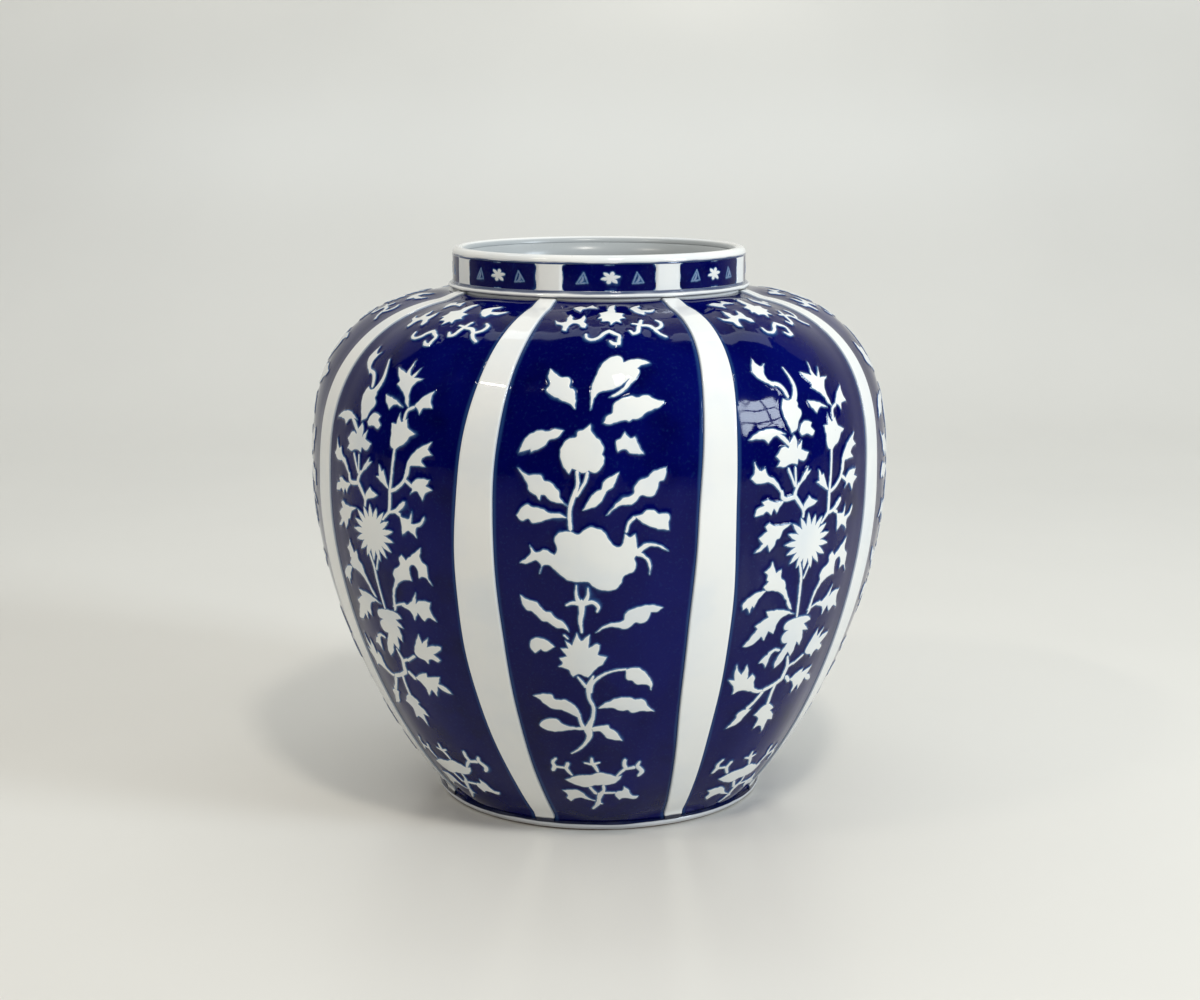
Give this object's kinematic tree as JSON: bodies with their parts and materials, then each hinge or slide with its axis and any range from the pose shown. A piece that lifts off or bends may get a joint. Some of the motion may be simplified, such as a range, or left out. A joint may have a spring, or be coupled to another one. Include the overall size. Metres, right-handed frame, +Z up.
{
  "type": "ginger jar",
  "caption": "Round-shouldered lobed porcelain jar without a lid: wide body tapering to a turned foot ring, straight collar with a bead, rounded lip, cobalt panels between raised white bands.",
  "frame": {"origin": "centre of the foot ring on the standing plane", "axes": "+Z up along the jar's axis, the front decorated panel faces -Y"},
  "size_m": [0.251, 0.251, 0.24],
  "materials": {
    "cobalt_glaze": "very glossy cobalt ground with white reserved flowers and leaves",
    "white_glaze": "glossy clear glaze over white porcelain",
    "inner_glaze": "plain grey-white glaze, slightly less glossy",
    "foot_biscuit": "glazed side with an unglazed, faintly brown standing edge"
  },
  "bodies": {
    "root": {"foot_ring": "foot_biscuit", "base_floor": "inner_glaze", "lower_body": "inner_glaze", "upper_body": "inner_glaze", "neck_collar": "white_glaze", "collar_bead": "white_glaze", "rim_lip": "white_glaze", "cobalt_panel_1": "cobalt_glaze", "cobalt_panel_2": "cobalt_glaze", "cobalt_panel_3": "cobalt_glaze", "cobalt_panel_4": "cobalt_glaze", "cobalt_panel_5": "cobalt_glaze", "cobalt_panel_6": "cobalt_glaze", "cobalt_panel_7": "cobalt_glaze", "cobalt_panel_8": "cobalt_glaze", "white_band_1": "white_glaze", "white_band_2": "white_glaze", "white_band_3": "white_glaze", "white_band_4": "white_glaze", "white_band_5": "white_glaze", "white_band_6": "white_glaze", "white_band_7": "white_glaze", "white_band_8": "white_glaze", "collar_plaque_1": "cobalt_glaze", "collar_plaque_2": "cobalt_glaze", "collar_plaque_3": "cobalt_glaze", "collar_plaque_4": "cobalt_glaze", "collar_plaque_5": "cobalt_glaze", "collar_plaque_6": "cobalt_glaze", "collar_plaque_7": "cobalt_glaze", "collar_plaque_8": "cobalt_glaze"}
  },
  "joints": []
}
